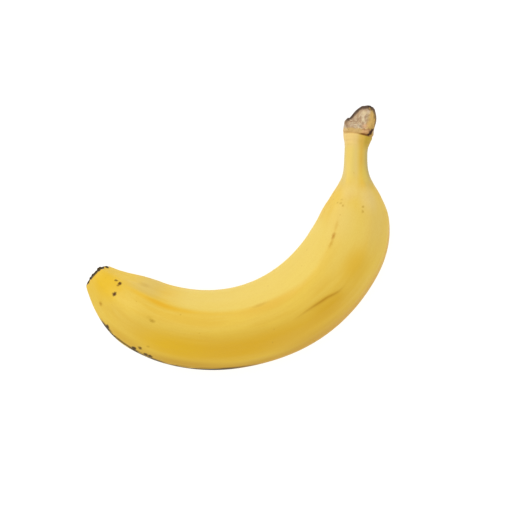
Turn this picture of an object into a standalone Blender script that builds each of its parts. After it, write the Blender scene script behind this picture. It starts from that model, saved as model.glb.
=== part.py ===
"""One ripe banana lying on its side, as a single closed solid.

The fruit is a skin carried along a bent centreline. Seen from above it curves
like a crescent, with the blossom end at the left and the stem at the upper
right. Its section is a rounded polygon, because a banana has long flattish
faces that meet in soft ridges. The crown, where it was cut from its bunch, ends
in a slanting cut, and the blossom end is a blunt scar. The frame is metres, +Z
up, with the origin on the surface under the middle of the bounding box.
"""

import math

import bmesh
import bpy
import numpy as np

NODE_NAME = "banana"

# Distances run along the centreline, from the blossom end to the end of the crown.
LENGTH = 0.2010
GIRTH = 0.0380

# Where the centreline starts, seen from above: the middle of the blossom end.
BLOSSOM_END = (-0.06425, -0.01562)

# Heading of the centreline seen from above, in degrees from +X: (distance, heading).
HEADINGS = (
    (0.000, -54.5),
    (0.016, -40.0),
    (0.036, -21.0),
    (0.060, 0.0),
    (0.090, 23.5),
    (0.115, 45.5),
    (0.135, 64.0),
    (0.148, 82.0),
    (0.158, 89.0),
    (0.178, 88.0),
    (0.186, 81.0),
    (0.201, 74.0),
)

# Half the width seen from above, as a share of half the girth: (distance, share).
HALF_WIDTHS = (
    (0.000, 0.300),
    (0.003, 0.385),
    (0.006, 0.462),
    (0.010, 0.567),
    (0.017, 0.733),
    (0.025, 0.850),
    (0.035, 0.900),
    (0.055, 0.947),
    (0.080, 0.970),
    (0.110, 0.993),
    (0.128, 0.970),
    (0.138, 0.942),
    (0.146, 0.881),
    (0.153, 0.778),
    (0.160, 0.583),
    (0.168, 0.343),
    (0.177, 0.278),
    (0.182, 0.290),
    (0.185, 0.332),
    (0.188, 0.368),
    (0.191, 0.359),
    (0.195, 0.371),
    (0.198, 0.340),
    (0.201, 0.285),
)

# Depth from top to bottom, as a share of the width: (distance, share).
DEPTHS = (
    (0.000, 1.00),
    (0.020, 0.97),
    (0.090, 0.95),
    (0.150, 0.96),
    (0.172, 1.08),
    (0.201, 0.88),
)

# The ridges of the peel, in order round the fruit. Each is (how far out it would stand
# if it were sharp, in half widths, and its angle along the fruit). An angle is measured
# round the centreline, from +Z towards the inside of the bend: (distance, degrees).
RIDGES = (
    (1.01, ((0.000, -140.0), (0.100, -138.0), (0.201, -134.0))),
    (0.99, ((0.000, -76.0), (0.060, -79.0), (0.120, -80.0), (0.160, -73.0), (0.182, -58.0))),
    (1.00, ((0.000, -6.0), (0.060, -2.0), (0.096, -12.0), (0.120, -25.0), (0.182, -22.0))),
    (1.01, ((0.000, 30.0), (0.044, 29.0), (0.080, 23.0), (0.108, 18.0), (0.132, 25.0), (0.164, 35.0),
            (0.182, 22.0))),
    (0.99, ((0.000, 90.0), (0.100, 93.0), (0.160, 90.0), (0.201, 86.0))),
    (1.01, ((0.000, 146.0), (0.100, 144.0), (0.201, 148.0))),
)
# How crisply the faces meet: (distance, power). A high power keeps the ridges sharp.
CRISPNESS = (
    (0.000, 12.0),
    (0.030, 10.5),
    (0.060, 9.0),
    (0.110, 7.0),
    (0.150, 7.5),
    (0.201, 7.0),
)

# The fruit settles this far into its own weight, which leaves a flat spot to rest on.
SETTLE = 0.0004
# The underside is level between the first two distances. It lifts clear of the surface
# towards the blossom end, and has risen to the neck at the third distance.
LEVEL_FROM, LEVEL_TO, RISEN_BY = 0.028, 0.138, 0.166
# Height of the centreline at the two ends, as a share of half the girth.
TIP_HEIGHT, STEM_HEIGHT = 0.86, 1.04

# How far each line of the peel reaches at the slanting cut of the crown: (angle, distance).
CROWN_EDGE = (
    (-180.0, 0.2010),
    (-155.0, 0.2019),
    (-128.0, 0.2008),
    (-108.0, 0.1985),
    (-85.0, 0.1945),
    (-50.0, 0.1897),
    (0.0, 0.1878),
    (45.0, 0.1882),
    (75.0, 0.1900),
    (97.0, 0.1924),
    (132.0, 0.1943),
    (150.0, 0.1972),
    (165.0, 0.1998),
    (180.0, 0.2010),
)
# The same at the blossom end, where the scar is a little uneven: (angle, distance).
SCAR_EDGE = (
    (-180.0, 0.0012),
    (-90.0, 0.0027),
    (0.0, 0.0012),
    (60.0, 0.0010),
    (95.0, 0.0018),
    (180.0, 0.0012),
)
# How far back from each cut the lines of the peel are drawn in to meet it.
CROWN_BLEND, SCAR_BLEND = 0.022, 0.010
# How far the middle of each cut stands proud of its edge.
CROWN_DOME, SCAR_DOME = 0.0006, 0.0022

RINGS = 96
# Rings stand this much closer together towards both ends, where the shape changes fastest.
RING_CROWDING = 0.055
# Where the lengthwise lines of the mesh lie, as shares of the way from a ridge to the next.
LINES = (0.0, 0.09, 0.23, 0.41, 0.59, 0.77, 0.91)
CAP_RINGS = 4
CENTRELINE_STEPS = 800
CENTRELINE_MARGIN = 0.003
REACH_STEPS = 181

# Each finish is a colour and a roughness.
PEEL_FINISH = ((0.78, 0.53, 0.10, 1.0), 0.45)
CROWN_FINISH = ((0.42, 0.30, 0.19, 1.0), 0.85)
SCAR_FINISH = ((0.045, 0.025, 0.012, 1.0), 0.80)


def through(stations, places, period=None):
    """A smooth curve through (place, value) stations, read at the given places."""
    at, value = np.array(stations, float).T
    slope = np.gradient(value, at)
    if period:
        slope[0] = slope[-1] = (value[1] - value[-2]) / (at[1] - at[0] + at[-1] - at[-2])
        places = (places - at[0]) % period + at[0]
    i = np.clip(np.searchsorted(at, places) - 1, 0, len(at) - 2)
    span = at[i + 1] - at[i]
    t = np.clip((places - at[i]) / span, 0.0, 1.0)
    return (
        value[i] * (1 + 2 * t) * (1 - t) ** 2
        + value[i + 1] * t**2 * (3 - 2 * t)
        + span * (slope[i] * t * (1 - t) ** 2 - slope[i + 1] * t**2 * (1 - t))
    )


def smooth_step(value):
    t = np.clip(value, 0.0, 1.0)
    return t * t * (3 - 2 * t)


def section(distance, angle):
    """Distance from the centreline to the skin, in half widths, before it is fitted to the
    width. The section is a polygon with a corner on each ridge, and a high power of the
    distances to its sides rounds the corners."""
    crisp = through(CRISPNESS, distance)
    corners = []
    for out, stations in RIDGES:
        ridge = np.radians(through(stations, distance))
        corners.append((out * np.sin(ridge), out * np.cos(ridge)))
    total = 0.0
    for (across, up), (next_across, next_up) in zip(corners, corners[1:] + corners[:1]):
        facing = (next_up - up) * np.sin(angle) + (across - next_across) * np.cos(angle)
        facing = facing / (across * next_up - up * next_across)
        total = total + np.maximum(facing, 0.0) ** crisp
    return total ** (-1.0 / crisp)


def reach(distance, across, up):
    """How far the section reaches in a direction given by its two parts, in half widths."""
    turn = np.linspace(-math.pi, math.pi, REACH_STEPS)[:, None]
    outline = section(distance[None, :], turn)
    return (outline * (across * np.sin(turn) + up * np.cos(turn))).max(axis=0)


def centreline():
    """Arrays along the centreline: distance, x, y, height, heading, half width, half depth and
    the sideways shift that puts the widest points evenly about it."""
    distance = np.linspace(-CENTRELINE_MARGIN, LENGTH + CENTRELINE_MARGIN, CENTRELINE_STEPS)
    step = distance[1] - distance[0]
    heading = np.radians(through(HEADINGS, distance))
    start = np.searchsorted(distance, 0.0)
    along = [np.cos(heading), np.sin(heading)]
    x, y = (np.concatenate([[0.0], np.cumsum((a[1:] + a[:-1]) / 2 * step)]) for a in along)
    x += BLOSSOM_END[0] - x[start]
    y += BLOSSOM_END[1] - y[start]

    inner, outer = reach(distance, 1, 0), reach(distance, -1, 0)
    half_width = through(HALF_WIDTHS, distance) * GIRTH / 2
    across = 2 * half_width / (inner + outer)
    shift = across * (outer - inner) / 2
    top, bottom = reach(distance, 0, 1), reach(distance, 0, -1)
    depth = 2 * half_width * through(DEPTHS, distance) / (top + bottom)

    level = depth * bottom - SETTLE
    tip, stem = TIP_HEIGHT * GIRTH / 2, STEM_HEIGHT * GIRTH / 2
    to_tip = smooth_step((LEVEL_FROM - distance) / LEVEL_FROM)
    to_stem = smooth_step((distance - LEVEL_TO) / (RISEN_BY - LEVEL_TO))
    height = level + (tip - level) * to_tip + (stem - level) * to_stem
    return distance, x, y, height, heading, across, depth, shift


def skin(distance, angle, line):
    """Points of the peel at a distance along the centreline and an angle round it."""
    x, y, height, heading, across, depth, shift = (
        np.interp(distance, line[0], values) for values in line[1:]
    )
    out = section(distance, angle)
    sideways = across * out * np.sin(angle) + shift
    points = np.stack(
        [
            x - np.sin(heading) * sideways,
            y + np.cos(heading) * sideways,
            height + depth * out * np.cos(angle),
        ],
        axis=-1,
    )
    points[..., 2] = np.maximum(points[..., 2], 0.0)
    return points


def lengthwise_lines(distance):
    """Angles of the mesh's lengthwise lines: one on each ridge, the rest between the ridges."""
    ridges = [through(stations, distance) for _, stations in RIDGES]
    angles = []
    for ridge, following in zip(ridges, ridges[1:] + [ridges[0] + 360.0]):
        angles += [ridge + (following - ridge) * share for share in LINES]
    return np.concatenate(angles, axis=1)


def peel_rings(line):
    """Rings of points from the blossom end to the crown, each ring bent to the edge of the
    nearer cut."""
    even = np.linspace(0.0, 1.0, RINGS)
    plain = LENGTH * (even - RING_CROWDING * np.sin(2 * math.pi * even))[:, None]
    degrees = lengthwise_lines(plain)
    scar = through(SCAR_EDGE, degrees, period=360.0)
    crown = through(CROWN_EDGE, degrees, period=360.0) - LENGTH
    near_scar = smooth_step(1 - plain / SCAR_BLEND)
    near_crown = smooth_step((plain - LENGTH + CROWN_BLEND) / CROWN_BLEND)
    distance = plain + near_scar * scar + near_crown * crown
    return skin(distance, np.radians(degrees), line)


def cap_rings(rim, outward, dome):
    """Smaller and smaller copies of the rim, raised outwards into a low dome, then its middle."""
    middle = rim.mean(axis=0)
    shares = 1 - np.arange(1, CAP_RINGS + 1) / (CAP_RINGS + 1)
    rings = [
        middle + (rim - middle) * share + outward * dome * math.sqrt(1 - share**2)
        for share in shares
    ]
    return rings, middle + outward * dome


def rim_normal(rim):
    """Unit normal of a closed rim of points, by the sum of its edges' cross products."""
    centred = rim - rim.mean(axis=0)
    normal = np.cross(centred, np.roll(centred, -1, axis=0)).sum(axis=0)
    return normal / np.linalg.norm(normal)


def finish(name, colour, roughness):
    made = bpy.data.materials.new(name)
    made.use_nodes = True
    shader = made.node_tree.nodes["Principled BSDF"]
    shader.inputs["Base Color"].default_value = colour
    shader.inputs["Roughness"].default_value = roughness
    shader.inputs["Metallic"].default_value = 0.0
    return made


def bridge(mesh, first, second, slot):
    """A band of faces between two rings of vertices."""
    for k in range(len(first)):
        after = (k + 1) % len(first)
        face = mesh.faces.new((first[k], first[after], second[after], second[k]))
        face.material_index = slot


def fan(mesh, ring, middle, slot):
    """Triangles from a ring of vertices to its middle."""
    for k in range(len(ring)):
        face = mesh.faces.new((ring[k], ring[(k + 1) % len(ring)], middle))
        face.material_index = slot


def build_banana():
    rings = peel_rings(centreline())
    mesh = bmesh.new()
    loops = [[mesh.verts.new(point) for point in ring] for ring in rings]
    for first, second in zip(loops, loops[1:]):
        bridge(mesh, first, second, 0)

    ends = ((rings[-1], loops[-1], CROWN_DOME, 1), (rings[0], loops[0], SCAR_DOME, 2))
    inside = rings[len(rings) // 2].mean(axis=0)
    for rim, loop, dome, slot in ends:
        normal = rim_normal(rim)
        if np.dot(normal, rim.mean(axis=0) - inside) < 0:
            normal = -normal
        made, middle = cap_rings(rim, normal, dome)
        for ring in made:
            inner = [mesh.verts.new(point) for point in ring]
            bridge(mesh, loop, inner, slot)
            loop = inner
        fan(mesh, loop, mesh.verts.new(middle), slot)

    bmesh.ops.recalc_face_normals(mesh, faces=mesh.faces)
    data = bpy.data.meshes.new(NODE_NAME)
    mesh.to_mesh(data)
    mesh.free()
    data.shade_smooth()
    data.materials.append(finish("peel", *PEEL_FINISH))
    data.materials.append(finish("crown", *CROWN_FINISH))
    data.materials.append(finish("blossom_scar", *SCAR_FINISH))
    banana = bpy.data.objects.new(NODE_NAME, data)
    bpy.context.scene.collection.objects.link(banana)


def main():
    for old in list(bpy.data.objects):
        bpy.data.objects.remove(old)
    build_banana()


main()
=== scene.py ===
# %% [markdown]
# # A ripe banana, from its shape to its last freckle
# A banana is one skin, so this lesson makes one surface. It starts from the solid fruit that a
# construction script left in the same frame, repeats its formulas at a much finer grain, and adds
# what a solid model leaves out: the valley beside a ridge, the crease under the crown, the torn
# fibres of the cut, the crust of the blossom end, and all the colours of a ripe peel.

# %% The frame
import math

import bpy
import numpy as np
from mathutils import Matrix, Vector


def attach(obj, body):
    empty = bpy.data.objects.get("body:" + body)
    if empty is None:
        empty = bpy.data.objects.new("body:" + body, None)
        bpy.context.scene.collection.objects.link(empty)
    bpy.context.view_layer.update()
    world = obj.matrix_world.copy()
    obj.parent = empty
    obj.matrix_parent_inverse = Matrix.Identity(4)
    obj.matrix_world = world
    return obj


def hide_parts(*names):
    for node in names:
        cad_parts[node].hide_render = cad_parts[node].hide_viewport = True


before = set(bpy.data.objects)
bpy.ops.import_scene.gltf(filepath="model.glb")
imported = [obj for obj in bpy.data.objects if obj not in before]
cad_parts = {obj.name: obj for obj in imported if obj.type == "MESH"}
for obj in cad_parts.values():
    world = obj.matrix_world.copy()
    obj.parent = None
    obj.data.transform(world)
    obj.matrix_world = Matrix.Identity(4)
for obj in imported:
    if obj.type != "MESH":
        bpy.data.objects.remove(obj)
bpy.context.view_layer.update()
MM = 0.001

# %% [markdown]
# ## Curves, steps and ripples
# A grown thing has no straight lines and no plain arcs. Three small tools draw it instead: a
# smooth curve through a few measured stations, a soft step, and a seeded ripple that is uneven in
# the way that living surfaces are, without anything being left to chance.


# %% Small tools for shapes
def through(stations, places, period=None):
    """A smooth curve through (place, value) stations, read at the given places: on each span a
    cubic whose slope at both ends is the mean slope of its neighbours."""
    at, value = np.array(stations, float).T
    slope = np.gradient(value, at)
    if period:
        slope[0] = slope[-1] = (value[1] - value[-2]) / (at[1] - at[0] + at[-1] - at[-2])
        places = (places - at[0]) % period + at[0]
    i = np.clip(np.searchsorted(at, places) - 1, 0, len(at) - 2)
    span = at[i + 1] - at[i]
    t = np.clip((places - at[i]) / span, 0.0, 1.0)
    return (
        value[i] * (1 + 2 * t) * (1 - t) ** 2
        + value[i + 1] * t**2 * (3 - 2 * t)
        + span * (slope[i] * t * (1 - t) ** 2 - slope[i + 1] * t**2 * (1 - t))
    )


def smooth_step(value):
    """0 below 0, 1 above 1, and three times the square less twice the cube between."""
    t = np.clip(value, 0.0, 1.0)
    return t * t * (3 - 2 * t)


def bell(value):
    """1 at 0, falling on both sides as e to the power of minus the square."""
    return np.exp(-(value**2))


def ripple(places, size, seed, waves=14):
    """Seeded unevenness of about unit height: a sum of cosine waves that run in all directions,
    each about as long as size."""
    draw = np.random.default_rng(seed)
    direction = draw.normal(size=(waves, places.shape[-1]))
    direction /= np.linalg.norm(direction, axis=1, keepdims=True)
    turns = places @ (direction.T / (size * draw.uniform(0.7, 1.6, waves)))
    phase = draw.uniform(0.0, 1.0, waves)
    return np.cos(2 * math.pi * (turns + phase)).sum(axis=-1) / math.sqrt(waves / 2)


# %% [markdown]
# ## The measured fruit
# Everything hangs on one bent line through the middle of the fruit. Distances run along it in
# millimetres, from the blossom end to the end of the crown. Angles run round it in degrees, from
# straight up towards the inside of the bend. These are the numbers that the solid was built from,
# so the fine skin lands on it. Only the rim of the crown is drawn fuller, by half a millimetre.

# %% Stations along the fruit
LENGTH, GIRTH = 201.0, 38.0
BLOSSOM_END = (-64.25, -15.62)
# (distance, heading in degrees seen from above)
HEADINGS = (
    (0, -54.5), (16, -40), (36, -21), (60, 0), (90, 23.5), (115, 45.5),
    (135, 64), (148, 82), (158, 89), (178, 88), (186, 81), (201, 74),
)
# (distance, half width as a share of half the girth)
HALF_WIDTHS = (
    (0, 0.300), (3, 0.385), (6, 0.462), (10, 0.567), (17, 0.733), (25, 0.850), (35, 0.900),
    (55, 0.947), (80, 0.970), (110, 0.993), (128, 0.970), (138, 0.942), (146, 0.881),
    (153, 0.778), (160, 0.583), (168, 0.343), (177, 0.278), (182, 0.290), (185, 0.332),
    (188, 0.368), (191, 0.359), (195, 0.371), (198, 0.340), (201, 0.285),
)
# (distance, depth as a share of the width)
DEPTHS = ((0, 1.00), (20, 0.97), (90, 0.95), (150, 0.96), (172, 1.08), (201, 0.88))
# (how far out the ridge would stand if it were sharp, its angle along the fruit)
RIDGES = (
    (1.01, ((0, -140), (100, -138), (201, -134))),
    (0.99, ((0, -76), (60, -79), (120, -80), (160, -73), (182, -58))),
    (1.00, ((0, -6), (60, -2), (96, -12), (120, -25), (182, -22))),
    (1.01, ((0, 30), (44, 29), (80, 23), (108, 18), (132, 25), (164, 35), (182, 22))),
    (0.99, ((0, 90), (100, 93), (160, 90), (201, 86))),
    (1.01, ((0, 146), (100, 144), (201, 148))),
)
# (distance, how crisply the faces meet)
CRISPNESS = ((0, 12), (30, 10.5), (60, 9), (110, 7), (150, 7.5), (201, 7))
SETTLE = 0.4
LEVEL_FROM, LEVEL_TO, RISEN_BY = 28.0, 138.0, 166.0
TIP_HEIGHT, STEM_HEIGHT = 0.86, 1.04
# (angle, distance that the peel reaches at the cut of the crown, and at the scar)
CROWN_EDGE = (
    (-180, 201.1), (-155, 201.8), (-128, 200.8), (-108, 199.0), (-85, 195.2), (-50, 189.7),
    (0, 187.8), (45, 188.2), (75, 190.5), (97, 192.6), (115, 193.9), (132, 194.7), (141, 195.8),
    (150, 198.2), (158, 199.6), (166, 200.5), (180, 201.1),
)
SCAR_EDGE = ((-180, 1.2), (-90, 2.7), (0, 1.2), (60, 1.0), (95, 1.8), (180, 1.2))

# %% [markdown]
# ## The section and the bend
# Cut a banana across and you see a polygon with soft corners: long flat faces meeting in ridges.
# One formula gives that: each face pushes the skin in by its own distance, and a high power of
# all the distances together rounds the corners. The bend comes from summing short steps, each in
# the heading of its place.


# %% The section and the centreline
def section(distance, angle):
    """Distance from the centreline to the skin, in half widths: the polygon of the ridges with
    its corners rounded by a high power of the distances to its faces."""
    crisp = through(CRISPNESS, distance)
    turns = [(out, np.radians(through(stations, distance))) for out, stations in RIDGES]
    corners = [(out * np.sin(turn), out * np.cos(turn)) for out, turn in turns]
    total = 0.0
    for (across, up), (next_across, next_up) in zip(corners, corners[1:] + corners[:1]):
        facing = (next_up - up) * np.sin(angle) + (across - next_across) * np.cos(angle)
        facing = facing / (across * next_up - up * next_across)
        total = total + np.maximum(facing, 0.0) ** crisp
    return total ** (-1.0 / crisp)


def reach(distance, across, up):
    """How far the section reaches in one direction: the largest step of its outline that way."""
    turn = np.linspace(-math.pi, math.pi, 181)[:, None]
    outline = section(distance[None, :], turn)
    return (outline * (across * np.sin(turn) + up * np.cos(turn))).max(axis=0)


def centreline():
    """Arrays along the fruit: distance, x, y, height, heading, half width, half depth, sideways
    shift. The place is the running sum of short steps, each along its heading."""
    distance = np.linspace(-3.0, LENGTH + 3.0, 800)
    step = distance[1] - distance[0]
    heading = np.radians(through(HEADINGS, distance))
    start = np.searchsorted(distance, 0.0)
    along = [np.cos(heading), np.sin(heading)]
    x, y = (np.concatenate([[0.0], np.cumsum((a[1:] + a[:-1]) / 2 * step)]) for a in along)
    x += BLOSSOM_END[0] - x[start]
    y += BLOSSOM_END[1] - y[start]
    inner, outer = reach(distance, 1, 0), reach(distance, -1, 0)
    half_width = through(HALF_WIDTHS, distance) * GIRTH / 2
    across = 2 * half_width / (inner + outer)
    top, bottom = reach(distance, 0, 1), reach(distance, 0, -1)
    depth = 2 * half_width * through(DEPTHS, distance) / (top + bottom)
    level = depth * bottom - SETTLE
    to_tip = smooth_step((LEVEL_FROM - distance) / LEVEL_FROM)
    to_stem = smooth_step((distance - LEVEL_TO) / (RISEN_BY - LEVEL_TO))
    height = level + (TIP_HEIGHT * GIRTH / 2 - level) * to_tip
    height += (STEM_HEIGHT * GIRTH / 2 - level) * to_stem
    return distance, x, y, height, heading, across, depth, across * (outer - inner) / 2


LINE = centreline()
print("centreline: end of the crown at", [round(float(LINE[k][-1]), 1) for k in (1, 2, 3)])


# %% The smooth skin
def skin(distance, angle):
    """Points of the skin, and the same points as if the fruit were straight: (distance, sideways,
    up). Sideways is the section's width with its shift, turned into the heading of its place."""
    x, y, height, heading, across, depth, shift = (
        np.interp(distance, LINE[0], values) for values in LINE[1:]
    )
    out = section(distance, angle)
    sideways = across * out * np.sin(angle) + shift
    up = depth * out * np.cos(angle)
    points = np.stack(
        [x - np.sin(heading) * sideways, y + np.cos(heading) * sideways, height + up], axis=-1
    )
    points[..., 2] = np.maximum(points[..., 2], 0.0)
    return points, np.stack([distance, sideways, up], axis=-1)


# %% [markdown]
# ## A net that follows the ridges
# The mesh is a net of rings and lengthwise lines. If the lines ran straight, a ridge that wanders
# would cross them and its crest would look like a saw, so each line keeps its share of the way
# between two ridges, and the lines crowd where the skin turns most. The rings crowd towards the
# two ends, where everything happens in a few millimetres, and bend to the edge of each cut.

# %% The net
RINGS, RING_CROWDING = 480, 0.10
LINES_PER_FACE = (30, 36, 20, 34, 26, 30)
LINE_CROWDING = 0.07
CROWN_BLEND, SCAR_BLEND = 22.0, 10.0
CROWN_CHIP, SCAR_CHIP = 0.10, 0.25


def crowded(count, crowding):
    """Even shares from 0 to 1, pulled towards both ends by a sine wave."""
    even = np.arange(count) / count
    return even - crowding * np.sin(2 * math.pi * even)


def lengthwise_angles(distance):
    """The angle of every lengthwise line at each distance."""
    ridges = [through(stations, distance) for _, stations in RIDGES]
    following = ridges[1:] + [ridges[0] + 360.0]
    return np.concatenate(
        [
            ridge + (after - ridge) * crowded(count, LINE_CROWDING)
            for ridge, after, count in zip(ridges, following, LINES_PER_FACE)
        ],
        axis=1,
    )


even = np.linspace(0.0, 1.0, RINGS)
plain = LENGTH * (even - RING_CROWDING * np.sin(2 * math.pi * even))[:, None]
degrees = lengthwise_angles(plain)
turned = np.stack([np.sin(np.radians(degrees)), np.cos(np.radians(degrees))], axis=-1)
crown_chips = CROWN_CHIP * np.abs(ripple(turned, 0.45, seed=3))
scar_chips = SCAR_CHIP * np.abs(ripple(turned, 0.6, seed=4))
crown_edge = through(CROWN_EDGE, degrees, period=360.0) - crown_chips
scar_edge = through(SCAR_EDGE, degrees, period=360.0) + scar_chips
near_scar = smooth_step(1 - plain / SCAR_BLEND)
near_crown = smooth_step((plain - LENGTH + CROWN_BLEND) / CROWN_BLEND)
distance = plain + near_scar * scar_edge + near_crown * (crown_edge - LENGTH)
angle = np.radians(degrees)
smooth_points, straight = skin(distance, angle)
radius = np.hypot(straight[..., 1], straight[..., 2])
print("net:", smooth_points.shape[:2], "rings and lines")

# %% [markdown]
# ## Relief
# The peel isn't a clean sweep. A shallow valley runs beside the inner ridge where a strip of the
# fruit grew less, a rubbed line is pressed into the upper ridge, the neck is fluted, and the
# whole skin is a little uneven. All of it is a height along the surface's own normal, cut inwards
# only, so that the fruit never outgrows its solid. Two small things stand up: a grain of crust
# near the tip, and the torn corner of the crown.

# %% Lines on the skin
# Each line is its angles along the fruit and how strong it is there: (distance, value).
VALLEY_ANGLE = (
    (10, 29), (18, 28.5), (28, 28), (33, 27.8), (39, 27), (51, 27.3), (60, 27), (80, 22), (95, 16),
)
VALLEY_FORCE = (
    (0, 0), (10, 0), (18, 0.45), (27, 0.72), (34, 1), (42, 0.72), (51, 0.5), (60, 0.3), (80, 0),
    (201, 0),
)
BRUISE_ANGLE = (
    (92, -15), (98, -14), (103, -13), (109.2, -14.5), (113.4, -16.8), (118.2, -22.5), (122, -24.5),
)
BRUISE_FORCE = (
    (0, 0), (96, 0), (100, 0.2), (104, 0.45), (109, 0.9), (113, 1), (117, 0.75), (120, 0.2),
    (123, 0), (201, 0),
)
SCUFF_ANGLE = ((8, -75), (18, -75.5), (28, -76.5), (41, -78), (65, -78.8), (85, -79.5))
SCUFF_FORCE = (
    (0, 0), (13, 0), (18, 0.8), (30, 1), (44, 0.7), (64, 0.9), (74, 0.5), (84, 0), (201, 0),
)


def beside(stations):
    """Millimetres round the skin from a lengthwise line: the turn from its angle, times the
    radius of the place."""
    turn = angle - np.radians(through(stations, distance))
    return (np.mod(turn + math.pi, 2 * math.pi) - math.pi) * radius


valley_side, bruise_side, scuff_side = (
    beside(stations) for stations in (VALLEY_ANGLE, BRUISE_ANGLE, SCUFF_ANGLE)
)
valley_force, bruise_force, scuff_force = (
    np.clip(through(stations, distance), 0.0, 1.0)
    for stations in (VALLEY_FORCE, BRUISE_FORCE, SCUFF_FORCE)
)

# %% Heights along the normal
CREASE = (
    (-180, 187.0), (-60, 187.2), (-36, 187.4), (0, 187.6), (75, 187.2), (100, 187.0),
    (180, 187.0),
)
crease_line = distance - through(CREASE, degrees, period=360.0)
# The crease is cut into the upper side only, and fades out round the flanks.
crease_depth = smooth_step((np.cos(angle) + 0.15) / 0.5)
NECK_FROM, NECK_GROWS_OVER = 156.0, 14.0
neck = smooth_step((distance - NECK_FROM) / NECK_GROWS_OVER)
COLLAR_MIDDLE, COLLAR_WIDTH = 184.0, 2.6
collar_band = bell((distance - COLLAR_MIDDLE) / COLLAR_WIDTH)

# The skin starts a little below the solid, so that ripples and ridges have room to rise.
SUNK_BY = 0.15
relief = np.full_like(distance, -SUNK_BY)
RIDGE_HEIGHT, RIDGE_WIDTH = 0.10, 1.6
for _, stations in RIDGES:
    relief += RIDGE_HEIGHT * bell(beside(stations) / RIDGE_WIDTH)
# Each groove or lip is (height, how strong it is, the way from its line, its width).
GROOVES = (
    (-0.24, valley_force, valley_side, 1.5), (0.10, valley_force, valley_side - 2.8, 1.4),
    (-0.05, bruise_force, bruise_side, 0.8), (-0.08, scuff_force, scuff_side, 1.6),
    (-0.42, crease_depth, crease_line, 0.55),
)
for height, force, way, width in GROOVES:
    relief += height * force * bell(way / width)
# Each unevenness is (height, where it is, how its waves shrink along, sideways and up, their
# size, seed). A small first share draws the waves out along the fruit.
UNEVENNESS = (
    (0.09, 1.0, (0.35, 1, 1), 13.0, 11), (0.022, 1.0, (0.06, 1, 1), 3.2, 12),
    (0.07, neck, (0.08, 1, 1), 3.4, 13), (0.05, collar_band, (1, 0.15, 0.15), 1.3, 14),
)
for height, where, shrink, size, seed in UNEVENNESS:
    relief += height * where * ripple(straight * shrink, size, seed)
relief = np.minimum(relief, 0.0)
print("relief, mm: from", round(float(relief.min()), 2))

# %% A grain and a flare
# One grain of crust sits by itself on the rim: (distance, angle, height, size).
GRAIN = (1.4, 66.0, 0.70, 0.9)
grain_away = np.hypot(distance - GRAIN[0], beside(((0, GRAIN[1]), (LENGTH, GRAIN[1]))))
relief += GRAIN[2] * bell(grain_away / GRAIN[3])
# The torn corner of the crown flares towards the inside of the bend, over a patch that is a
# little longer round the stalk than along it: (distance, angle, height, size).
FLARE, FLARE_NARROWING = (191.2, 82.0, 0.38, 1.9), 0.8
flare_side = beside(((0, FLARE[1]), (LENGTH, FLARE[1])))
flare_away = np.hypot(distance - FLARE[0], FLARE_NARROWING * flare_side)
relief += FLARE[2] * bell(flare_away / FLARE[3])
print("relief, mm: up to", round(float(relief.max()), 2))


# %% Normals and the worked skin
def grid_normals(points):
    """Unit normals of a closed net: the cross product of the step along and the step round."""
    along = np.gradient(points, axis=0)
    around = np.roll(points, -1, axis=1) - np.roll(points, 1, axis=1)
    normal = np.cross(along, around)
    return normal / np.linalg.norm(normal, axis=-1, keepdims=True)


peel_points = smooth_points + grid_normals(smooth_points) * relief[..., None]
peel_points[..., 2] = np.maximum(peel_points[..., 2], 0.0)

# %% [markdown]
# ## The two ends
# The crown was cut slantwise from its bunch, and it tore a little at the near side: a band of
# rind stands up there, then the dried fibres fall away below the rim. The blossom end is a
# blunt scar with a crust of small lumps. Both are the same construction, rings that shrink from
# the rim to its middle, each with its own height over the plane of the cut.

# %% Rings across a cut
CROWN_RINGS, SCAR_RINGS = 44, 26


def across_cut(rim, rim_straight, rings):
    """Rings that shrink from a rim to its middle in even shares, with their places on the
    straightened fruit, the way in from the rim in mm, and the normal of the cut, which is the
    sum of the cross products of neighbouring spokes."""
    share = 1 - np.arange(1, rings + 1) / rings
    middle, straight_middle = rim.mean(axis=0), rim_straight.mean(axis=0)
    spokes = rim - middle
    points = middle + share[:, None, None] * spokes
    places = straight_middle + share[:, None, None] * (rim_straight - straight_middle)
    inward = (1 - share[:, None]) * np.linalg.norm(spokes, axis=1)
    normal = np.cross(spokes, np.roll(spokes, -1, axis=0)).sum(axis=0)
    return points, places, inward, normal / np.linalg.norm(normal)


# %% The cut of the crown
TORN_UNTIL, TORN_RAGGED, TORN_OVER = 190.4, 0.3, 1.1
HOLLOW, RIM_WIDTH = 0.75, 1.1
RIND_HEIGHT, SPLIT_DEPTH = 0.55, 0.25
STRAND_RELIEF, LUMP_RELIEF = 0.12, 0.24
crown_flat, crown_places, crown_inward, crown_normal = across_cut(
    peel_points[-1], straight[-1], CROWN_RINGS
)
if crown_normal @ (peel_points[-1].mean(axis=0) - peel_points[-40].mean(axis=0)) < 0:
    crown_normal = -crown_normal
torn_line = TORN_UNTIL + TORN_RAGGED * ripple(crown_places, 3.0, seed=21)
near_edge = 1 - smooth_step((crown_places[..., 0] - torn_line) / TORN_OVER)
inside = smooth_step(crown_inward / RIM_WIDTH)
outer_half = 1 - smooth_step((crown_places[..., 1] + 0.5) / 3.0)
crown_height = -HOLLOW * inside
crown_height += RIND_HEIGHT * near_edge * smooth_step((crown_inward - 0.5) / 0.5)
crown_height -= SPLIT_DEPTH * near_edge * outer_half * bell((crown_inward - 0.4) / 0.35)
crown_height += STRAND_RELIEF * inside * ripple(crown_places * (0.10, 1, 0.6), 1.3, seed=22)
crown_height += LUMP_RELIEF * inside * ripple(crown_places * (0.5, 1, 1), 4.2, seed=23)
crown_points = crown_flat + crown_normal * crown_height[..., None]
print("crown: cut faces", [round(float(v), 2) for v in crown_normal])

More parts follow.
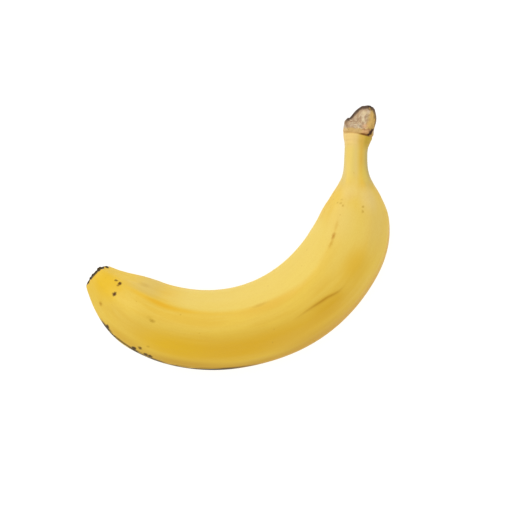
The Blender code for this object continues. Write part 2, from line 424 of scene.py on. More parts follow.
# %% The scar of the blossom end
SCAR_DOME, DOME_ROUNDNESS = 1.75, 0.75
SCAR_LEDGE, SCAR_SLOPE, CRUST_RELIEF = 0.5, 1.2, 0.10
# Each lump is (sideways, up, height, size), as the scar is seen from its own end.
LUMPS = (
    (-2.6, 1.6, 0.30, 1.7), (2.4, 1.8, 0.70, 1.3), (0.2, 2.6, -0.45, 0.8), (-3.4, -0.8, 0.1, 1.2),
    (0.8, -1.2, 0.4, 1.4), (3.2, -1.8, 0.3, 1.1), (-1.2, -3.0, 0.35, 1.2), (0.4, 0.8, -0.5, 0.9),
)
scar_flat, scar_places, scar_inward, scar_normal = across_cut(
    peel_points[0], straight[0], SCAR_RINGS
)
if scar_normal @ (peel_points[0].mean(axis=0) - peel_points[40].mean(axis=0)) < 0:
    scar_normal = -scar_normal
scar_share = 1 - np.arange(1, SCAR_RINGS + 1)[:, None] / SCAR_RINGS
scar_inside = smooth_step((scar_inward - SCAR_LEDGE) / SCAR_SLOPE)
scar_height = SCAR_DOME * np.maximum(1 - scar_share**2, 0.0) ** DOME_ROUNDNESS
for sideways, up, height, size in LUMPS:
    off = np.hypot(scar_places[..., 1] - sideways, scar_places[..., 2] - up)
    scar_height = scar_height + height * bell(off / size) * scar_inside
scar_height = scar_height + CRUST_RELIEF * scar_inside * ripple(scar_places, 1.1, seed=31)
scar_points = scar_flat + scar_normal * scar_height[..., None]
print("scar: faces", [round(float(v), 2) for v in scar_normal])

# %% [markdown]
# ## One closed mesh
# Scar, peel and crown become one net of rings, closed at each end by a fan of triangles. Every
# vertex also carries measurements that the colours need later: its place on the straightened
# fruit, and its distance in millimetres from the valley, the rubbed lines and the two cuts. A
# distance is smooth, so it can be stored on a coarse net and still give the shader a sharp line.


# %% Building the mesh
def closed_net(name, rings, slots):
    """A mesh from rings of points whose first and last rings are single points: quads between
    rings, triangles at both ends. Slots gives the material of each band of faces."""
    count = rings.shape[1]
    body = rings[1:-1].reshape(-1, 3)
    points = np.concatenate([rings[0, :1], body, rings[-1, :1]]) * MM
    here = 1 + np.arange(len(rings) - 3)[:, None] * count + np.arange(count)
    after = 1 + np.arange(len(rings) - 3)[:, None] * count + (np.arange(count) + 1) % count
    quads = np.stack([here, here + count, after + count, after], axis=-1).reshape(-1, 4)
    first, first_after = 1 + np.arange(count), 1 + (np.arange(count) + 1) % count
    start_fan = np.stack([np.zeros(count, int), first, first_after], axis=-1)
    shift = (len(rings) - 3) * count
    end_fan = np.stack([first + shift, np.full(count, len(points) - 1), first_after + shift], -1)
    mesh = bpy.data.meshes.new(name)
    mesh.from_pydata(points.tolist(), [], start_fan.tolist() + quads.tolist() + end_fan.tolist())
    mesh.polygons.foreach_set("material_index", np.repeat(slots, count).astype(np.int32))
    mesh.shade_smooth()
    return mesh


def store(mesh, name, rings):
    """Keeps one measurement, a number or three, at every vertex of a closed net."""
    values = np.concatenate(
        [rings[0, :1], rings[1:-1].reshape(-1, *rings.shape[2:]), rings[-1, :1]]
    )
    kind = "FLOAT_VECTOR" if values.ndim == 2 else "FLOAT"
    made = mesh.attributes.new(name, kind, "POINT")
    made.data.foreach_set("vector" if values.ndim == 2 else "value", values.ravel())


PEEL, CROWN, SCAR = 0, 1, 2
rings = np.concatenate([scar_points[::-1], peel_points, crown_points])
# The finish of the peel rolls over the rim of the scar by a few rings.
ROLLED_RINGS = 4
slots = np.repeat(
    [SCAR, PEEL, CROWN], [SCAR_RINGS - ROLLED_RINGS, RINGS - 1 + ROLLED_RINGS, CROWN_RINGS]
)
banana = bpy.data.objects.new("banana_skin", closed_net("banana_skin", rings, slots))
bpy.context.scene.collection.objects.link(banana)
banana.data.validate()
print("skin:", len(banana.data.polygons), "faces")

# %% The measurements it carries
FAR = 99.0


def with_ends(peel, scar, crown):
    """One measurement over the whole net: what the scar has, what the peel has, what the crown
    has, a plain number standing for a whole end."""
    columns = peel.shape[1]
    scar = np.broadcast_to(scar, (SCAR_RINGS, columns)) if np.isscalar(scar) else scar
    crown = np.broadcast_to(crown, (CROWN_RINGS, columns)) if np.isscalar(crown) else crown
    return np.concatenate([scar[::-1], peel, crown])


to_cut = crown_edge[-1] - distance
to_scar = distance - scar_edge[0]
store(banana.data, "straight", with_ends(straight, scar_places, crown_places))
store(banana.data, "to_cut", with_ends(to_cut, FAR, crown_inward))
store(banana.data, "to_scar", with_ends(to_scar, -scar_inward, FAR))
store(banana.data, "past_inner_ridge", with_ends(beside(RIDGES[3][1]), -FAR, -FAR))
store(banana.data, "valley", with_ends(valley_force * bell(valley_side / 1.5), 0.0, 0.0))
store(banana.data, "bruise_line", with_ends(np.abs(bruise_side), FAR, FAR))
bruise_shade = bruise_force * bell((bruise_side + 2.2) / 3.0)
store(banana.data, "bruise_shade", with_ends(bruise_shade, 0.0, 0.0))
store(banana.data, "bruise_force", with_ends(bruise_force, 0.0, 0.0))
store(banana.data, "scuff", with_ends(scuff_force * bell(scuff_side / 1.6), 0.0, 0.0))
store(banana.data, "past_crease", with_ends(crease_line, -FAR, FAR))
store(banana.data, "crust_grain", with_ends(bell(grain_away / GRAIN[3]), 0.0, 0.0))
store(banana.data, "crease", with_ends(crease_depth * bell(crease_line / 0.6), 0.0, 0.0))

# %% [markdown]
# ## Nodes, colours and layers
# A material is a small graph. One function adds any node with its settings and links, another
# reads a colour the way that a picture editor shows it. The rest of the graph is painter's work:
# a list of layers, each a mask and the colour laid over what is already there.


# %% Tools for materials
def srgb(code):
    """An sRGB hex colour as the linear numbers that a shader works in."""
    parts = [int(code[i : i + 2], 16) / 255 for i in (1, 3, 5)]
    linear = [p / 12.92 if p <= 0.04045 else ((p + 0.055) / 1.055) ** 2.4 for p in parts]
    return (*linear, 1.0)


def add(tree, kind, inputs, **settings):
    """Adds a node, sets its options, fills its sockets with numbers, colours or other nodes'
    outputs, and returns its outputs."""
    made = tree.nodes.new(kind)
    for option, value in settings.items():
        setattr(made, option, value)
    for socket, value in inputs.items():
        if isinstance(value, bpy.types.NodeSocket):
            tree.links.new(value, made.inputs[socket])
        else:
            made.inputs[socket].default_value = value
    return made.outputs


MIX_FACTOR, MIX_UNDER, MIX_OVER, MIXED = 0, 6, 7, 2


def painted(tree, colour, layers):
    """Lays each (mask, colour) over the ones before it."""
    for mask, over in layers:
        inputs = {MIX_FACTOR: mask, MIX_UNDER: colour, MIX_OVER: srgb(over)}
        colour = add(tree, "ShaderNodeMix", inputs, data_type="RGBA")[MIXED]
    return colour


def cloudy(tree, places, size, low, high, strength=1.0, detail=3.0):
    """A mask of soft clouds: noise whose grains are size (along, sideways, up) in mm, spread so
    that low becomes 0 and high becomes the strength."""
    stretched = add(tree, "ShaderNodeMapping", {"Vector": places, "Scale": [1 / s for s in size]})
    inputs = {"Vector": stretched[0], "Scale": 1.0, "Detail": detail}
    noise = add(tree, "ShaderNodeTexNoise", inputs)
    spread = {"Value": noise[0], "From Min": low, "From Max": high, "To Max": strength}
    return add(tree, "ShaderNodeMapRange", spread, interpolation_type="SMOOTHSTEP")[0]


def within(tree, value, full, none, strength=1.0):
    """A mask that has its strength where the value is at full, and fades away at none."""
    spread = {"Value": value, "From Min": none, "From Max": full, "To Max": strength}
    return add(tree, "ShaderNodeMapRange", spread, interpolation_type="SMOOTHSTEP")[0]


def both(tree, *masks):
    """The product of several masks."""
    product = masks[0]
    for mask in masks[1:]:
        product = add(tree, "ShaderNodeMath", {0: product, 1: mask}, operation="MULTIPLY")[0]
    return product


# %% Places of marks
def on_top(distance, share):
    """The place on the straightened fruit that is seen from above at a distance along it and a
    share of the half width, found by running the angle over the upper side."""
    turns = np.radians(np.linspace(-88.0, 88.0, 353))
    _, places = skin(np.full_like(turns, distance), turns)
    half = float(through(HALF_WIDTHS, np.array([distance]))[0]) * GIRTH / 2
    sideways = places[:, 1]
    up = np.interp(share * half, sideways, places[:, 2])
    return (distance, share * half, float(up))


def spot(tree, places, centre, radii, soft, strength=1.0):
    """A mask for one mark: the distance from its centre, in radii, is 1 at its rim, and the mask
    rises to its strength over the soft share of the way in."""
    along, across = radii
    scale = (1 / along, 1 / across, 1 / across)
    moved = {
        "Vector": places, "Scale": scale, "Location": [-c * s for c, s in zip(centre, scale)],
    }
    local = add(tree, "ShaderNodeMapping", moved)[0]
    away = add(tree, "ShaderNodeVectorMath", {0: local}, operation="LENGTH")["Value"]
    return within(tree, away, 1.0 - soft, 1.0, strength)


# %% [markdown]
# ## Ripe peel
# The peel of a banana is a waxed plant skin: a thin, satiny cuticle over pale yellow tissue. The
# eye gets a broad soft shine, a colour that is never quite even, and streaks that follow the
# growth of the fruit. The broad differences come first, each a soft layer over the yellow. Two
# of them stand for light: a paler layer on the inside of the bend is painted sheen, and deeper
# golds along the outer side are partly the peel's own gold and partly painted shade.

# %% Ripe peel: the yellows
peel = bpy.data.materials.new("ripe_banana_peel")
peel.use_nodes = True
tree = peel.node_tree
tree.nodes.clear()
place = add(tree, "ShaderNodeAttribute", {}, attribute_name="straight")["Vector"]
along, sideways, _ = add(tree, "ShaderNodeSeparateXYZ", {"Vector": place})

streaks = cloudy(tree, place, (34.0, 2.6, 2.6), 0.40, 0.66, strength=0.45)
clouds = cloudy(tree, place, (22.0, 10.0, 10.0), 0.42, 0.62, strength=0.50)
threads = cloudy(tree, place, (17.0, 1.2, 1.2), 0.46, 0.66, strength=0.15)
grain = cloudy(tree, place, (0.9, 0.6, 0.6), 0.35, 0.70, strength=0.12, detail=2.0)
past_ridge = add(tree, "ShaderNodeAttribute", {}, attribute_name="past_inner_ridge")["Fac"]
# Paler on the inside of the bend, past the inner ridge: painted sheen of the faces turned towards
# the light.
painted_sheen_inside_bend = both(
    tree, within(tree, past_ridge, 2.2, -1.2, 0.70), within(tree, along, 50.0, 32.0),
    within(tree, along, 138.0, 158.0),
)
inner_near_tip = both(
    tree, within(tree, past_ridge, 1.6, -0.2, 0.50), within(tree, along, 24.0, 12.0),
    within(tree, along, 26.0, 37.0),
)
YELLOW = "#DFBC4A"
broad = [
    (streaks, "#DBB030"),
    (clouds, "#E2C048"),
    (threads, "#D4AA3A"),
    (painted_sheen_inside_bend, "#E1C866"),
    (inner_near_tip, "#CBB05E"),
    (spot(tree, place, on_top(22.4, 0.77), (5.5, 2.6), 0.9, 0.50), "#C39F42"),
    (spot(tree, place, on_top(7, 0.1), (14, 12), 0.9, 0.85), "#E4B81E"),
    # This spot over the outer half and the narrow bands at shares below -0.8 deepen the gold of the
    # outer side: partly the peel's own gold, partly painted shade of the side away from the light.
    (spot(tree, place, on_top(76, -0.50), (74, 12), 0.9, 0.95), "#DAAA14"),
    (spot(tree, place, on_top(104, -0.84), (26, 5), 0.9, 0.60), "#CD9E28"),
    (spot(tree, place, on_top(50, -0.88), (26, 4), 0.9, 0.65), "#BE8E18"),
    (spot(tree, place, on_top(80, -0.96), (68, 5), 0.9, 0.88), "#C3951A"),
    (spot(tree, place, on_top(26, -0.85), (15, 4), 0.9, 0.60), "#CC9E2A"),
    (spot(tree, place, on_top(20, -0.05), (12, 6), 0.9, 0.40), "#E8C85A"),
    (spot(tree, place, on_top(145, -0.98), (11, 3.2), 0.9, 0.50), "#D89E46"),
    (spot(tree, place, on_top(150, -0.55), (20, 13), 0.9, 0.85), "#DEBF60"),
    (spot(tree, place, on_top(146, 0.0), (16, 8), 0.9, 0.60), "#DFC25A"),
    (spot(tree, place, on_top(118, -0.97), (42, 5), 0.9, 0.68), "#CC9A30"),
    (spot(tree, place, on_top(45, -0.48), (21, 10), 0.9, 0.68), "#DEB000"),
    (spot(tree, place, on_top(92, 0.33), (26, 4), 0.9, 0.70), "#DBB03A"),
    (spot(tree, place, on_top(135, 0.10), (26, 9), 0.9, 0.60), "#E0C25C"),
    (spot(tree, place, on_top(110, -0.55), (14, 6), 0.9, 0.45), "#D2A010"),
    (spot(tree, place, on_top(91, -0.62), (17, 7), 0.9, 0.45), "#D8AE3C"),
    (spot(tree, place, on_top(131, -0.34), (11, 8), 0.9, 0.60), "#D8AA20"),
    (spot(tree, place, on_top(150, 0.42), (22, 9), 0.9, 0.60), "#E4C972"),
    (spot(tree, place, on_top(162, 0.30), (8, 7), 0.9, 0.40), "#E6CE8C"),
    (spot(tree, place, on_top(159, -0.45), (11, 7), 0.9, 0.45), "#E0C88A"),
    (grain, "#D2A534"),
]
yellows = painted(tree, srgb(YELLOW), broad)

# %% [markdown]
# The neck is the leathery stalk of the fruit. Its flutes catch four different tints, from cream
# on the inside of the bend over a greenish middle to orange and grey, so a ramp across the
# stalk colours it, and fades out where the fruit swells.

# %% Ripe peel: the neck
NECK_HALF = 5.6
NECK_TINTS = (
    (0.0, "#A89A64"), (0.10, "#BCA864"), (0.18, "#D3B354"), (0.30, "#DAAE42"), (0.38, "#D6B654"),
    (0.50, "#D8BE6E"), (0.66, "#DCC268"), (0.84, "#E2C566"), (1.0, "#D2BE7C"),
)
band_place = add(
    tree, "ShaderNodeMapRange",
    {"Value": sideways, "From Min": -NECK_HALF, "From Max": NECK_HALF},
)[0]
ramp_node = tree.nodes.new("ShaderNodeValToRGB")
tree.links.new(band_place, ramp_node.inputs[0])
ramp = ramp_node.color_ramp
ramp.elements[0].position, ramp.elements[0].color = NECK_TINTS[0][0], srgb(NECK_TINTS[0][1])
ramp.elements[1].position, ramp.elements[1].color = NECK_TINTS[-1][0], srgb(NECK_TINTS[-1][1])
for position, tint in NECK_TINTS[1:-1]:
    ramp.elements.new(position).color = srgb(tint)
on_neck = within(tree, along, 172.0, 160.0, 0.85)
necked = add(
    tree, "ShaderNodeMix",
    {MIX_FACTOR: on_neck, MIX_UNDER: yellows, MIX_OVER: ramp_node.outputs[0]}, data_type="RGBA",
)[MIXED]

# %% [markdown]
# Then come the marks of its life: an orange shade down the valley, rubbed brown lines on the
# ridges that met other fruit, a handful of dark dots near the tip, and a scatter of faint
# freckles that is drawn by chance but always the same. A little noise shifts every outline, so
# that no mark is a clean ellipse.

# %% Ripe peel: the marks
FRECKLE_EVERY = 8.0
wobble_noise = add(tree, "ShaderNodeTexNoise", {"Vector": place, "Scale": 1.1, "Detail": 2.0})[1]
wobble = add(
    tree, "ShaderNodeVectorMath", {0: wobble_noise, 1: (0.5, 0.5, 0.5)}, operation="SUBTRACT"
)[0]
uneven = add(
    tree, "ShaderNodeVectorMath", {0: wobble, 1: (1.1, 1.1, 1.1), 2: place},
    operation="MULTIPLY_ADD",
)[0]
# Each mark is (distance, share of the half width, radii, softness, strength, colour).
MARKS = (
    (9.5, 0.50, (1.3, 1.0), 0.7, 0.85, "#6A4600"),
    (11.9, 0.475, (1.2, 1.3), 0.6, 0.98, "#603A00"),
    (11.9, 0.37, (1.0, 1.0), 0.8, 0.75, "#805200"),
    (13.5, 0.04, (1.2, 1.5), 0.6, 0.98, "#502C00"),
    (12.9, 0.0, (0.7, 0.9), 0.9, 0.60, "#805400"),
    (11.8, -0.63, (1.5, 1.6), 0.9, 0.70, "#B07A00"),
    (34.4, -0.02, (2.0, 1.2), 0.9, 0.60, "#A87E08"),
    (32.6, 0.03, (2.6, 1.4), 0.9, 0.30, "#C29A20"),
    (138.4, 0.445, (3.4, 1.2), 0.9, 0.80, "#B67C0A"),
    (134.0, 0.415, (3.6, 1.2), 0.9, 0.55, "#C29016"),
    (144.5, 0.47, (5.5, 1.3), 0.9, 0.40, "#CDA034"),
    (85.8, 0.41, (6.0, 1.4), 0.9, 0.45, "#C49A34"),
    (156.3, 0.65, (0.9, 0.8), 0.9, 0.45, "#B48C20"),
    (156.0, 0.53, (1.0, 1.2), 0.9, 0.50, "#B48C20"),
    (154.9, 0.44, (1.0, 0.8), 0.9, 0.60, "#AE8618"),
    (157.8, 0.54, (0.9, 1.0), 0.9, 0.40, "#B48C20"),
    (154.8, -0.20, (0.9, 0.9), 0.9, 0.65, "#AE8618"),
    (152.7, -0.19, (1.1, 0.9), 0.9, 0.60, "#AE8618"),
    (19.4, -0.914, (1.3, 1.5), 0.6, 0.95, "#3E2A00"),
    (31.8, -0.917, (1.3, 1.5), 0.6, 0.95, "#3E2A00"),
    (33.8, -0.833, (1.1, 1.2), 0.7, 0.88, "#624200"),
    (36.4, -0.702, (1.0, 1.0), 0.9, 0.45, "#A87E08"),
    (36.6, -0.931, (1.2, 1.3), 0.6, 0.92, "#483000"),
    (38.2, -0.930, (1.3, 1.2), 0.6, 0.90, "#483000"),
)
measures = {
    name: add(tree, "ShaderNodeAttribute", {}, attribute_name=name)["Fac"]
    for name in (
        "to_cut", "to_scar", "valley", "bruise_line", "bruise_shade", "bruise_force", "scuff",
        "past_crease", "crease", "crust_grain",
    )
}
broken = cloudy(tree, place, (7.0, 0.8, 0.8), 0.34, 0.50)
along_bruise = measures["bruise_force"]
marks = [
    (within(tree, measures["valley"], 0.9, 0.0, 0.68), "#DDAB0E"),
    (within(tree, measures["valley"], 1.0, 0.5, 0.28), "#DC9C0C"),
    (within(tree, measures["bruise_shade"], 1.0, 0.0, 0.45), "#D2A212"),
    (both(tree, along_bruise, within(tree, measures["bruise_line"], 0.2, 1.6, 0.60)), "#C49418"),
    (both(tree, along_bruise, within(tree, measures["bruise_line"], 0.1, 0.7, 0.62)), "#B27A00"),
    (both(tree, broken, within(tree, measures["scuff"], 0.5, 0.1, 0.80)), "#8A6408"),
    (both(tree, broken, within(tree, measures["scuff"], 0.8, 0.3, 0.96)), "#2A2000"),
]
marks += [
    (spot(tree, uneven, on_top(s, share), radii, soft, strength), colour)
    for s, share, radii, soft, strength, colour in MARKS
]
print("marks placed by hand:", len(MARKS))

# %% Ripe peel: freckles and dried edges
freckles = add(
    tree, "ShaderNodeTexVoronoi", {"Vector": uneven, "Scale": 1 / FRECKLE_EVERY}, feature="F1"
)["Distance"]
frayed = cloudy(tree, place, (1.6, 1.0, 1.0), 0.30, 0.70)
clumps = cloudy(tree, place, (2.4, 2.4, 2.4), 0.36, 0.62, detail=1.0)
wrinkles = cloudy(tree, place, (0.8, 9.0, 9.0), 0.45, 0.60)
to_edge = add(tree, "ShaderNodeMath", {0: frayed, 1: -0.4, 2: measures["to_cut"]},
              operation="MULTIPLY_ADD")[0]
to_crust = add(tree, "ShaderNodeMath", {0: clumps, 1: -0.5, 2: measures["to_scar"]},
               operation="MULTIPLY_ADD")[0]
dry = within(tree, measures["past_crease"], 0.8, -0.6, 0.92)
far_edge = within(tree, along, 193.8, 191.2)
collar = within(tree, along, 184.5, 179.5, 0.75)
marks += [
    (within(tree, freckles, 0.03, 0.07, 0.36), "#B4840C"),
    (spot(tree, place, on_top(169, -0.62), (8, 3.5), 0.9, 0.75), "#DCC050"),
    (both(tree, collar, within(tree, sideways, 1.0, -2.0)), "#E4C27A"),
    (both(tree, collar, within(tree, sideways, -1.5, 1.0)), "#D3AC48"),
    (both(tree, collar, within(tree, sideways, -4.2, -2.4)), "#B89A22"),
    (both(tree, collar, wrinkles, within(tree, sideways, -4.6, -3.4, 0.45)), "#C8A04A"),
    (dry, "#CBA86A"),
    (both(tree, dry, within(tree, along, 193.0, 190.0)), "#BC9A68"),
    (both(tree, dry, within(tree, sideways, -4.0, -1.5)), "#C29C48"),
    (
        both(
            tree, dry, within(tree, along, 190.3, 188.2, 0.85), within(tree, sideways, 4.4, 2.4)
        ),
        "#A89E94",
    ),
    # The next two layers darken the crease under the collar: partly brown peel, partly painted
    # shade in the crease.
    (within(tree, measures["crease"], 1.0, 0.1, 0.55), "#B07C30"),
    (
        both(
            tree, within(tree, measures["crease"], 0.8, 0.2, 0.9),
            within(tree, sideways, -2.0, 0.8), within(tree, sideways, -4.8, -5.6),
        ),
        "#744408",
    ),
    (both(tree, far_edge, within(tree, to_edge, 0.6, 2.6, 0.60)), "#8E7448"),
    (both(tree, far_edge, within(tree, to_edge, 0.1, 0.7, 0.85)), "#5A4228"),
    (
        both(
            tree, far_edge, within(tree, to_edge, 0.4, 1.1, 0.95),
            within(tree, sideways, -4.6, -6.0),
        ),
        "#30241D",
    ),
    # A pinkish grey patch at the outer edge beside the scabs: painted highlight.
    (spot(tree, place, on_top(189.4, -0.95), (2.4, 1.2), 0.9, 0.75), "#C2A596"),
    (within(tree, to_crust, -0.7, 0.2, 0.35), "#D8921C"),
    (within(tree, to_crust, -0.7, -0.35, 0.97), "#241C04"),
    (within(tree, measures["crust_grain"], 0.45, 0.15, 0.96), "#241C04"),
]
# Each scab is (distance, sideways share, radii, strength): blackened peel where the crown tore.
SCABS = (
    (188.0, -0.71, (0.9, 1.2), 0.95), (189.1, -0.76, (1.6, 1.5), 0.95),
    (190.4, -0.80, (1.6, 1.2), 0.95),
)
marks += [
    (spot(tree, uneven, on_top(s, share), radii, 0.6, strength), "#341204")
    for s, share, radii, strength in SCABS
]
peel_colour = painted(tree, necked, marks)

# %% [markdown]
# A waxy skin scatters a sharp reflection into a broad one. Its roughness is that of satin paint,
# and varies a little in soft patches. Clear wax has an index of refraction of about 1.45, but
# the bloom on a fruit reflects less, so 1.30 gives the eye the right shine. The pores and fibres
# under the wax are finer than half a millimetre, so they are a bump of a few hundredths of one.

# %% Ripe peel: gloss and grain
PEEL_ROUGHNESS, PEEL_IOR = 0.43, 1.30
gloss = cloudy(tree, place, (9.0, 3.0, 3.0), 0.35, 0.65, strength=0.08)
roughness = add(tree, "ShaderNodeMath", {0: gloss, 1: PEEL_ROUGHNESS}, operation="ADD")[0]
pores = add(tree, "ShaderNodeTexNoise", {"Vector": place, "Scale": 1.6, "Detail": 3.0})[0]
fibres = cloudy(tree, place, (14.0, 0.8, 0.8), 0.2, 0.8, detail=2.0)
height = add(tree, "ShaderNodeMath", {0: pores, 1: fibres}, operation="ADD")[0]
grain_bump = add(
    tree, "ShaderNodeBump", {"Height": height, "Strength": 0.35, "Distance": 0.05 * MM}
)[0]
wax = add(
    tree, "ShaderNodeBsdfPrincipled",
    {
        "Base Color": peel_colour, "Roughness": roughness, "IOR": PEEL_IOR,
        "Normal": grain_bump,
    },
)[0]
add(tree, "ShaderNodeOutputMaterial", {"Surface": wax})
print("ripe peel:", len(tree.nodes), "nodes")

# %% [markdown]
# ## Dried crown
# The cut crown is bare plant fibre that has dried in the air: matt, tan, streaked along the
# stalk, with a cream heart, a strip of old rind on the outside of the bend, a torn orange band
# at the near edge and a dark shrunken rim. Dry fibre hardly shines, so two cream patches on a
# fold are painted highlights and a grey strip beside them is painted shade.

# %% Dried crown
crown = bpy.data.materials.new("dried_crown_fibre")
crown.use_nodes = True
tree = crown.node_tree
tree.nodes.clear()
place = add(tree, "ShaderNodeAttribute", {}, attribute_name="straight")["Vector"]
along, sideways, _ = add(tree, "ShaderNodeSeparateXYZ", {"Vector": place})
inward = add(tree, "ShaderNodeAttribute", {}, attribute_name="to_cut")["Fac"]
uneven_noise = add(tree, "ShaderNodeTexNoise", {"Vector": place, "Scale": 0.8, "Detail": 3.0})[0]
# The rind at the near edge ends on a slanting line, so the way sideways counts a little too.
SLANT = 0.12
level = add(tree, "ShaderNodeMath", {0: sideways, 1: SLANT, 2: along},
            operation="MULTIPLY_ADD")[0]
uneven_along = add(tree, "ShaderNodeMath", {0: uneven_noise, 1: 2.4, 2: level},
                   operation="MULTIPLY_ADD")[0]
uneven_in = add(tree, "ShaderNodeMath", {0: uneven_noise, 1: -1.3, 2: inward},
                operation="MULTIPLY_ADD")[0]
uneven_side = add(tree, "ShaderNodeMath", {0: uneven_noise, 1: -2.0, 2: sideways},
                  operation="MULTIPLY_ADD")[0]
strands = cloudy(tree, place, (7.0, 0.7, 1.4), 0.36, 0.64)
dust = cloudy(tree, place, (2.2, 1.2, 1.2), 0.42, 0.66)


def on_cut(distance, sideways):
    """The place on the cut at a distance and a way sideways: the nearest point of its net."""
    off = np.hypot(crown_places[..., 0] - distance, crown_places[..., 1] - sideways)
    return tuple(float(v) for v in crown_places.reshape(-1, 3)[off.argmin()])


far_edge = within(tree, along, 194.0, 191.0)
# Each patch is (distance, sideways, radii, strength, colour). The first two, cream along a fold,
# are painted highlights, the grey fifth is painted shade in the hollow beside it, and the rest
# are the fibre's own tints.
PATCHES = (
    (198.2, -0.6, (2.2, 1.6), 0.80, "#DCC79C"),
    (194.6, -0.9, (3.4, 1.2), 0.80, "#D9C69E"),
    (192.2, 0.4, (1.8, 2.2), 0.55, "#BCA486"),
    (199.6, -2.6, (1.8, 1.6), 0.80, "#E2CDB2"),
    (196.6, -2.6, (2.4, 0.9), 0.70, "#A99C7C"),
    (194.2, 3.6, (3.0, 2.2), 0.60, "#B0957C"),
    (191.4, 3.4, (1.4, 1.8), 0.60, "#C4B094"),
    (191.0, 0.8, (1.1, 1.2), 0.60, "#BDB49A"),
    (192.7, 4.2, (0.9, 0.8), 0.80, "#7E5236"),
    (192.0, -2.5, (2.4, 2.2), 0.60, "#DAA274"),
)
crown_layers = [
    (strands, "#A88B6C"),
    (both(tree, dust, within(tree, inward, 3.0, 1.0)), "#CDB894"),
]
crown_layers += [
    (spot(tree, place, on_cut(s, u), radii, 0.9, strength), colour)
    for s, u, radii, strength, colour in PATCHES
]
crown_layers += [
    (within(tree, uneven_side, -5.2, -3.0, 0.85), "#CCA654"),
    (both(tree, strands, within(tree, uneven_side, -5.2, -3.6, 0.3)), "#A88440"),
    (within(tree, uneven_along, 190.8, 191.8, 0.90), "#C8A460"),
    (
        both(
            tree, within(tree, uneven_along, 190.8, 191.8),
            within(tree, sideways, -2.5, -0.5, 0.85),
        ),
        "#CC9C68",
    ),
    (
        both(
            tree, within(tree, uneven_along, 191.0, 191.5, 0.6),
            within(tree, uneven_along, 190.9, 190.3), within(tree, sideways, -1.5, 0.0),
        ),
        "#96683C",
    ),
    (both(tree, within(tree, inward, 0.2, 0.9, 0.30), within(tree, sideways, 0.0, 2.5)), "#A37A48"),
    (spot(tree, place, on_cut(191.0, -5.8), (2.4, 1.1), 0.6, 0.92), "#341604"),
    (spot(tree, place, on_cut(190.1, -5.5), (2.0, 1.1), 0.6, 0.94), "#341404"),
    (spot(tree, place, on_cut(189.4, -5.2), (2.0, 1.1), 0.6, 0.94), "#341204"),
    (
        both(
            tree, far_edge, within(tree, uneven_in, -0.1, 1.1, 0.85),
            within(tree, sideways, -4.8, -6.2),
        ),
        "#3F2F28",
    ),
    (both(tree, far_edge, within(tree, uneven_in, -0.3, 0.5, 0.75)), "#5A4636"),
]
crown_colour = painted(tree, srgb("#B3936F"), crown_layers)
strand_height = cloudy(tree, place, (9.0, 0.45, 0.9), 0.2, 0.8, detail=4.0)
strand_bump = add(
    tree, "ShaderNodeBump", {"Height": strand_height, "Strength": 0.35, "Distance": 0.15 * MM}
)[0]
FIBRE_ROUGHNESS, FIBRE_IOR = 0.82, 1.45
fibre = add(
    tree, "ShaderNodeBsdfPrincipled",
    {
        "Base Color": crown_colour, "Roughness": FIBRE_ROUGHNESS, "IOR": FIBRE_IOR,
        "Normal": strand_bump,
    },
)[0]
add(tree, "ShaderNodeOutputMaterial", {"Surface": fibre})
print("dried crown:", len(tree.nodes), "nodes")

# %% [markdown]
# ## Blossom crust
# Where the flower dropped off, a cork-like crust has formed: nearly black, rough as burnt bark,
# with brown showing in the cracks and a thin ochre seam where it meets the peel. Its pores
# swallow most of the light, so its index of refraction is set far below that of solid cork.

# %% Blossom crust
crust = bpy.data.materials.new("blossom_crust")
crust.use_nodes = True
tree = crust.node_tree
tree.nodes.clear()
place = add(tree, "ShaderNodeAttribute", {}, attribute_name="straight")["Vector"]
inward = add(tree, "ShaderNodeAttribute", {}, attribute_name="to_scar")["Fac"]
cracks = cloudy(tree, place, (1.2, 1.2, 1.2), 0.45, 0.68)
crust_layers = [
    (cracks, "#4E3C12"),
    (within(tree, inward, 0.0, 0.5, 0.3), "#5E4612"),
]
crust_colour = painted(tree, srgb("#241C04"), crust_layers)
crust_height = cloudy(tree, place, (0.5, 0.5, 0.5), 0.2, 0.8, detail=4.0)
crust_bump = add(
    tree, "ShaderNodeBump", {"Height": crust_height, "Strength": 0.7, "Distance": 0.2 * MM}
)[0]
CRUST_ROUGHNESS, CRUST_IOR = 0.78, 1.18
cork = add(
    tree, "ShaderNodeBsdfPrincipled",
    {
        "Base Color": crust_colour, "Roughness": CRUST_ROUGHNESS, "IOR": CRUST_IOR,
        "Normal": crust_bump,
    },
)[0]
add(tree, "ShaderNodeOutputMaterial", {"Surface": cork})
for finish in (peel, crown, crust):
    banana.data.materials.append(finish)
print("skin finishes:", [finish.name for finish in banana.data.materials])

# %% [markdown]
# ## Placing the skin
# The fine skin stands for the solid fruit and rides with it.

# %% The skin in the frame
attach(banana, "root")
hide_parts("banana")

# %% [markdown]
# ## Ground, light and camera
# The fruit lies on a white ground that glows a little, the way a lit sweep does, so it throws
# back light from below and keeps only a breath of shadow. One broad soft light hangs overhead
# and makes the upper faces shine. The other stands at the upper left of the picture: it
# brightens the inside of the bend and leaves the outer faces a deeper gold. The pale
# surroundings do the rest. The camera looks straight down.

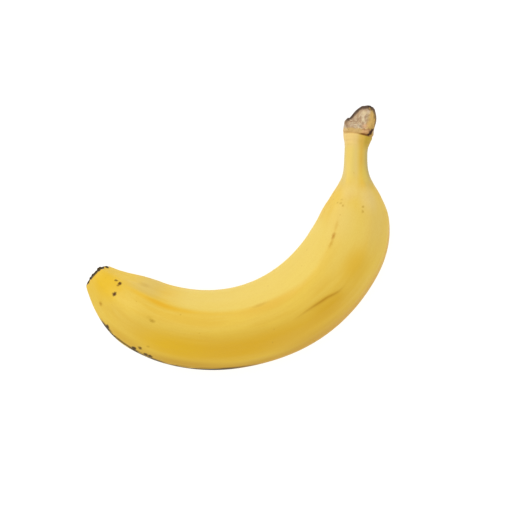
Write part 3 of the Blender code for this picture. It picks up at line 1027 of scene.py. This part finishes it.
# %% Ground
ground_mesh = bpy.data.meshes.new("ground")
REACH = 3.0
ground_mesh.from_pydata(
    [(-REACH, -REACH, 0.0), (REACH, -REACH, 0.0), (REACH, REACH, 0.0), (-REACH, REACH, 0.0)],
    [], [(0, 1, 2, 3)],
)
ground = bpy.data.objects.new("ground", ground_mesh)
bpy.context.scene.collection.objects.link(ground)
white = bpy.data.materials.new("white_ground")
white.use_nodes = True
tree = white.node_tree
tree.nodes.clear()
WHITE, GROUND_GREY, GROUND_GLOW = (1.0, 1.0, 1.0, 1.0), (0.30, 0.30, 0.30, 1.0), 0.80
matt = add(tree, "ShaderNodeBsdfDiffuse", {"Color": GROUND_GREY})[0]
glow = add(tree, "ShaderNodeEmission", {"Color": WHITE, "Strength": GROUND_GLOW})[0]
lit = add(tree, "ShaderNodeAddShader", {0: matt, 1: glow})[0]
add(tree, "ShaderNodeOutputMaterial", {"Surface": lit})
ground_mesh.materials.append(white)


# %% Light
def soft_light(name, place, aim, size, watts):
    """A rectangular lamp at a place, in metres, turned to face a point."""
    lamp = bpy.data.lights.new(name, "AREA")
    lamp.shape = "RECTANGLE"
    lamp.size, lamp.size_y = size
    lamp.energy = watts
    made = bpy.data.objects.new(name, lamp)
    made.location = place
    made.rotation_euler = (Vector(place) - Vector(aim)).to_track_quat("Z", "Y").to_euler()
    made.visible_camera = False
    bpy.context.scene.collection.objects.link(made)


MIDDLE = (0.005, -0.005, 0.018)
ROOM_GLOW = 0.87
soft_light("overhead_light", (0.0, 0.0, 1.3), MIDDLE, (0.8, 0.8), 1.5)
soft_light("upper_left_light", (-0.8, 0.8, 0.8), MIDDLE, (0.8, 0.8), 4.85)
world = bpy.data.worlds.new("pale_room")
world.use_nodes = True
backdrop = world.node_tree.nodes["Background"]
backdrop.inputs["Color"].default_value = WHITE
backdrop.inputs["Strength"].default_value = ROOM_GLOW
bpy.context.scene.world = world
bpy.context.scene.view_settings.view_transform = "Standard"

# %% Camera
MM_PER_PIXEL = 0.45
PICTURE_HEIGHT_PX = 512
SENSOR_MM = 36.0
CAMERA_HEIGHT, FRUIT_MIDDLE = 1.0, 0.018
FRAME_MIDDLE = (0.00765, -0.00828)
camera_data = bpy.data.cameras.new("camera")
camera_data.sensor_width = SENSOR_MM
seen_mm = MM_PER_PIXEL * PICTURE_HEIGHT_PX
camera_data.lens = SENSOR_MM * (CAMERA_HEIGHT - FRUIT_MIDDLE) / MM / seen_mm
camera = bpy.data.objects.new("camera", camera_data)
camera.location = (*FRAME_MIDDLE, CAMERA_HEIGHT)
bpy.context.scene.collection.objects.link(camera)
bpy.context.scene.camera = camera
print("lens, mm:", round(camera_data.lens, 1))
